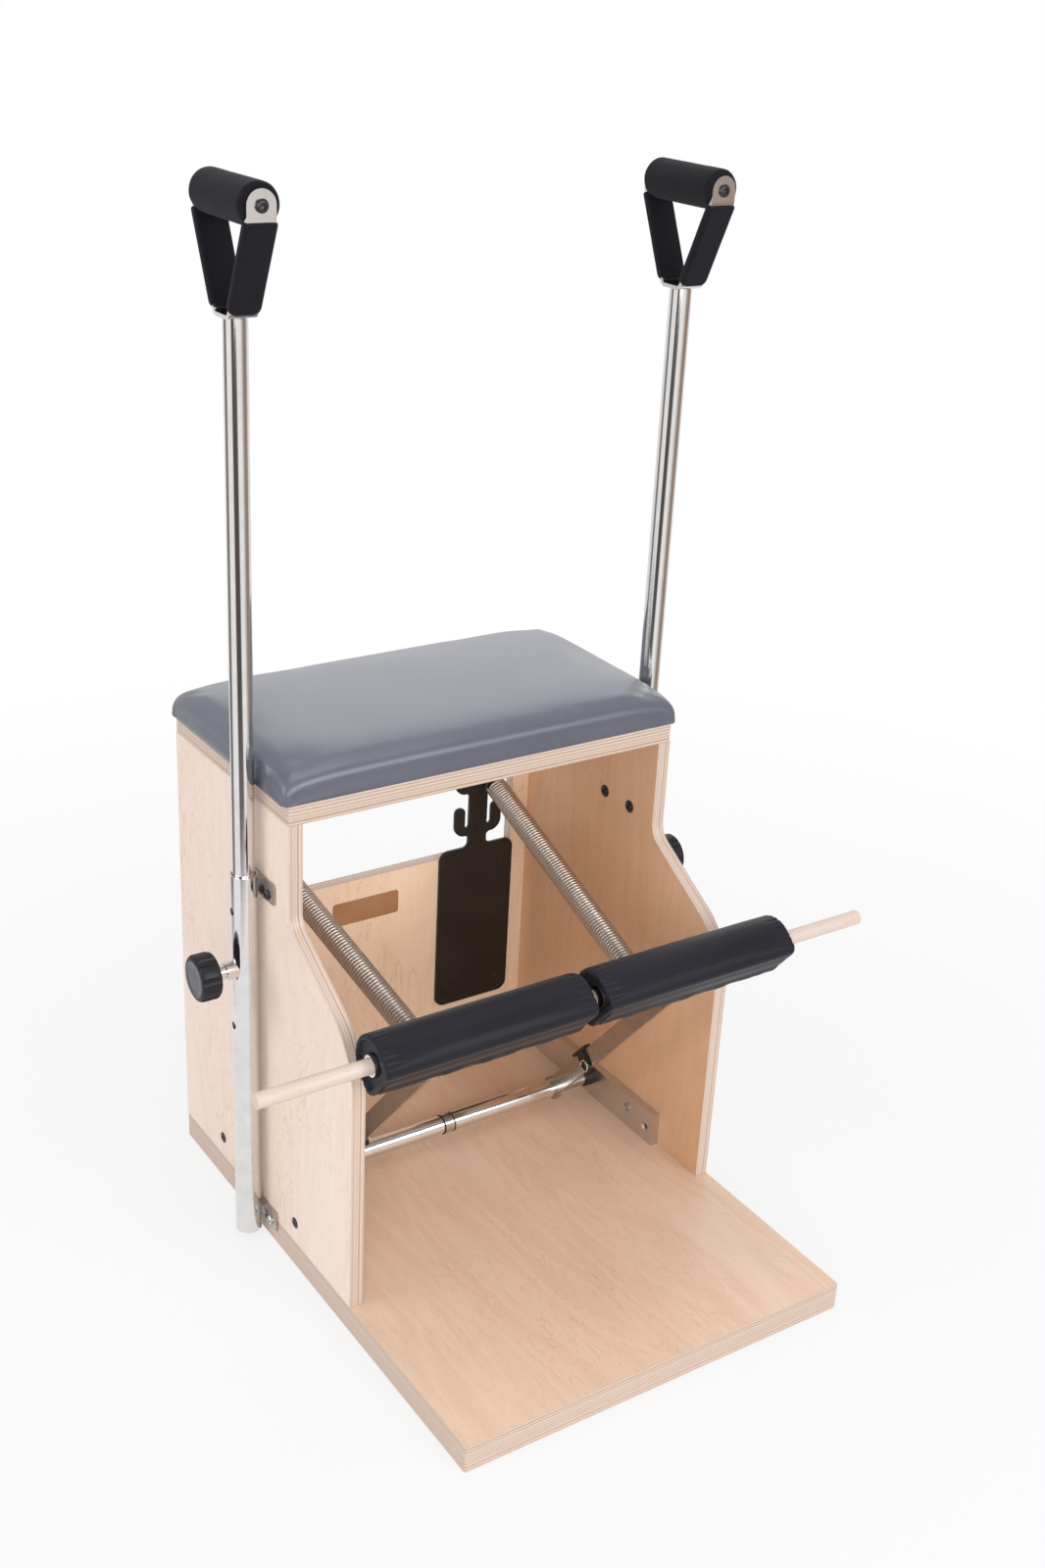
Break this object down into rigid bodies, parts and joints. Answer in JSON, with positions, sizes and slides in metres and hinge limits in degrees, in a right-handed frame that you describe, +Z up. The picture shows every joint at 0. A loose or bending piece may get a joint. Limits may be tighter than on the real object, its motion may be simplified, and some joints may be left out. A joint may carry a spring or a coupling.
{
  "type": "pilates chair",
  "caption": "Plywood exercise chair with padded seat, sprung foot pedals locked by a dowel, and upright sliding handles in clamped side sleeves.",
  "frame": {"origin": "on the floor under the middle of the whole object's bounding box", "axes": "+Z up; the front, where the base reaches out, faces -Y; left in the names is -X, the left of someone who faces the front, and so the right hand of someone seated on it"},
  "size_m": [0.872, 0.753, 1.3467],
  "materials": {
    "plywood": "clear satin lacquer over pale plywood",
    "seat_vinyl": "smooth grey-blue upholstery vinyl",
    "black_steel": "satin black",
    "zinc_screws": "zinc plated",
    "aluminium": "brushed bar",
    "axle_steel": "turned",
    "black_nylon": "nylon",
    "chrome": "polished",
    "arm_steel": "plated flat bar",
    "pad_vinyl": "fine-grained black vinyl",
    "dowel_wood": "sanded hardwood",
    "spring_steel": "bright wire",
    "black_foam": "closed-cell foam",
    "black_bolts": "black oxide",
    "black_plastic": "moulded"
  },
  "bodies": {
    "frame": {"base_board": "plywood", "seat_board": "plywood", "rear_panel": "plywood", "left_side_panel": "plywood", "right_side_panel": "plywood", "seat_cushion": "seat_vinyl", "left_spring_tree": "black_steel", "right_spring_tree": "black_steel", "tree_screws": "black_bolts", "left_axle_bracket": "aluminium", "right_axle_bracket": "aluminium", "bracket_bolts": "black_steel", "axle_shaft": "axle_steel", "axle_collar": "axle_steel", "axle_bushes": "black_nylon", "axle_spacers": "axle_steel", "left_sleeve": "chrome", "right_sleeve": "chrome", "left_guide_bushes": "black_nylon", "right_guide_bushes": "black_nylon", "left_sleeve_saddles": "arm_steel", "right_sleeve_saddles": "arm_steel", "saddle_bolts": "black_steel", "saddle_screws": "zinc_screws"},
    "dowel": {"locking_dowel": "dowel_wood"},
    "left_pedal": {"left_pedal_tube": "chrome", "left_pedal_arm": "arm_steel", "left_guide_tube": "chrome", "left_pedal_pad": "pad_vinyl", "left_spring_pin": "arm_steel", "left_arm_clip": "black_steel"},
    "left_spring_top": {"left_spring_stud": "spring_steel"},
    "left_spring_coil": {"left_spring": "spring_steel"},
    "left_spring_foot": {"left_spring_link": "spring_steel"},
    "left_handle": {"left_pole": "chrome", "left_handle_strap": "chrome", "left_leg_foam": "black_foam", "left_grip": "black_foam", "left_grip_tube": "arm_steel", "left_grip_bolts": "black_bolts"},
    "left_clamp": {"left_clamp_screw": "arm_steel"},
    "left_clamp_knob": {"left_knob": "black_plastic"},
    "right_pedal": {"right_pedal_tube": "chrome", "right_pedal_arm": "arm_steel", "right_guide_tube": "chrome", "right_pedal_pad": "pad_vinyl", "right_spring_pin": "arm_steel", "right_arm_clip": "black_steel"},
    "right_spring_top": {"right_spring_stud": "spring_steel"},
    "right_spring_coil": {"right_spring": "spring_steel"},
    "right_spring_foot": {"right_spring_link": "spring_steel"},
    "right_handle": {"right_pole": "chrome", "right_handle_strap": "chrome", "right_leg_foam": "black_foam", "right_grip": "black_foam", "right_grip_tube": "arm_steel", "right_grip_bolts": "black_bolts"},
    "right_clamp": {"right_clamp_screw": "arm_steel"},
    "right_clamp_knob": {"right_knob": "black_plastic"}
  },
  "joints": [
    {"name": "left_pedal_hinge", "type": "hinge", "parent": "frame", "child": "left_pedal", "pos_m": [0, 0.1315, 0.0707], "axis": [1, 0, 0], "range_deg": [0, 50], "stiffness_Nm_per_rad": 130, "springref_deg": -22.92},
    {"name": "right_pedal_hinge", "type": "hinge", "parent": "frame", "child": "right_pedal", "pos_m": [0, 0.1315, 0.0707], "axis": [1, 0, 0], "range_deg": [0, 50]},
    {"name": "dowel_slide", "type": "slide", "parent": "left_pedal", "child": "dowel", "axis": [1, 0, 0], "range_m": [-0.44, 0.1]},
    {"name": "left_spring_swing", "type": "hinge", "parent": "frame", "child": "left_spring_top", "pos_m": [-0.19225, 0.3505, 0.4727], "axis": [0.9959, 0.0816, -0.0381], "range_deg": [0, 18.93]},
    {"name": "left_spring_stretch", "type": "slide", "parent": "left_spring_top", "child": "left_spring_coil", "axis": [0.0687, -0.9617, -0.2655], "range_m": [0, 0.23766], "deforming": ["left_spring"]},
    {"name": "left_spring_foot_swing", "type": "hinge", "parent": "left_pedal", "child": "left_spring_foot", "pos_m": [-0.16, -0.10119, 0.34801], "axis": [1, 0, 0], "range_deg": [-30.76, 0]},
    {"name": "left_handle_slide", "type": "slide", "parent": "frame", "child": "left_handle", "axis": [0, 0, 1], "range_m": [-0.11, 0.16]},
    {"name": "left_clamp_slide", "type": "slide", "parent": "frame", "child": "left_clamp", "axis": [-1, 0, 0], "range_m": [0, 0.003]},
    {"name": "left_knob_turn", "type": "hinge", "parent": "left_clamp", "child": "left_clamp_knob", "pos_m": [-0.34, 0.1365, 0.404], "axis": [-1, 0, 0], "range_deg": [0, 722]},
    {"name": "right_spring_swing", "type": "hinge", "parent": "frame", "child": "right_spring_top", "pos_m": [0.19225, 0.3505, 0.4727], "axis": [0.9959, -0.0816, 0.0381], "range_deg": [0, 18.93]},
    {"name": "right_spring_stretch", "type": "slide", "parent": "right_spring_top", "child": "right_spring_coil", "axis": [-0.0687, -0.9617, -0.2655], "range_m": [0, 0.23766], "deforming": ["right_spring"]},
    {"name": "right_spring_foot_swing", "type": "hinge", "parent": "right_pedal", "child": "right_spring_foot", "pos_m": [0.16, -0.10119, 0.34801], "axis": [1, 0, 0], "range_deg": [-30.76, 0]},
    {"name": "right_handle_slide", "type": "slide", "parent": "frame", "child": "right_handle", "axis": [0, 0, 1], "range_m": [-0.11, 0.16]},
    {"name": "right_clamp_slide", "type": "slide", "parent": "frame", "child": "right_clamp", "axis": [1, 0, 0], "range_m": [0, 0.003]},
    {"name": "right_knob_turn", "type": "hinge", "parent": "right_clamp", "child": "right_clamp_knob", "pos_m": [0.34, 0.1365, 0.404], "axis": [1, 0, 0], "range_deg": [0, 722]}
  ],
  "couplings": [
    {"joint": "right_pedal_hinge", "follows": "left_pedal_hinge", "ratio": 1},
    {"joint": "left_spring_swing", "follows": "left_pedal_hinge", "ratio": 0.37847},
    {"joint": "left_spring_stretch", "follows": "left_pedal_hinge", "m_per_rad": 0.27222},
    {"joint": "left_spring_foot_swing", "follows": "left_pedal_hinge", "ratio": -0.61506},
    {"joint": "left_knob_turn", "follows": "left_clamp_slide", "rad_per_m": 4188.8},
    {"joint": "right_spring_swing", "follows": "left_pedal_hinge", "ratio": 0.37847},
    {"joint": "right_spring_stretch", "follows": "left_pedal_hinge", "m_per_rad": 0.27222},
    {"joint": "right_spring_foot_swing", "follows": "left_pedal_hinge", "ratio": -0.61506},
    {"joint": "right_knob_turn", "follows": "right_clamp_slide", "rad_per_m": 4188.8}
  ]
}
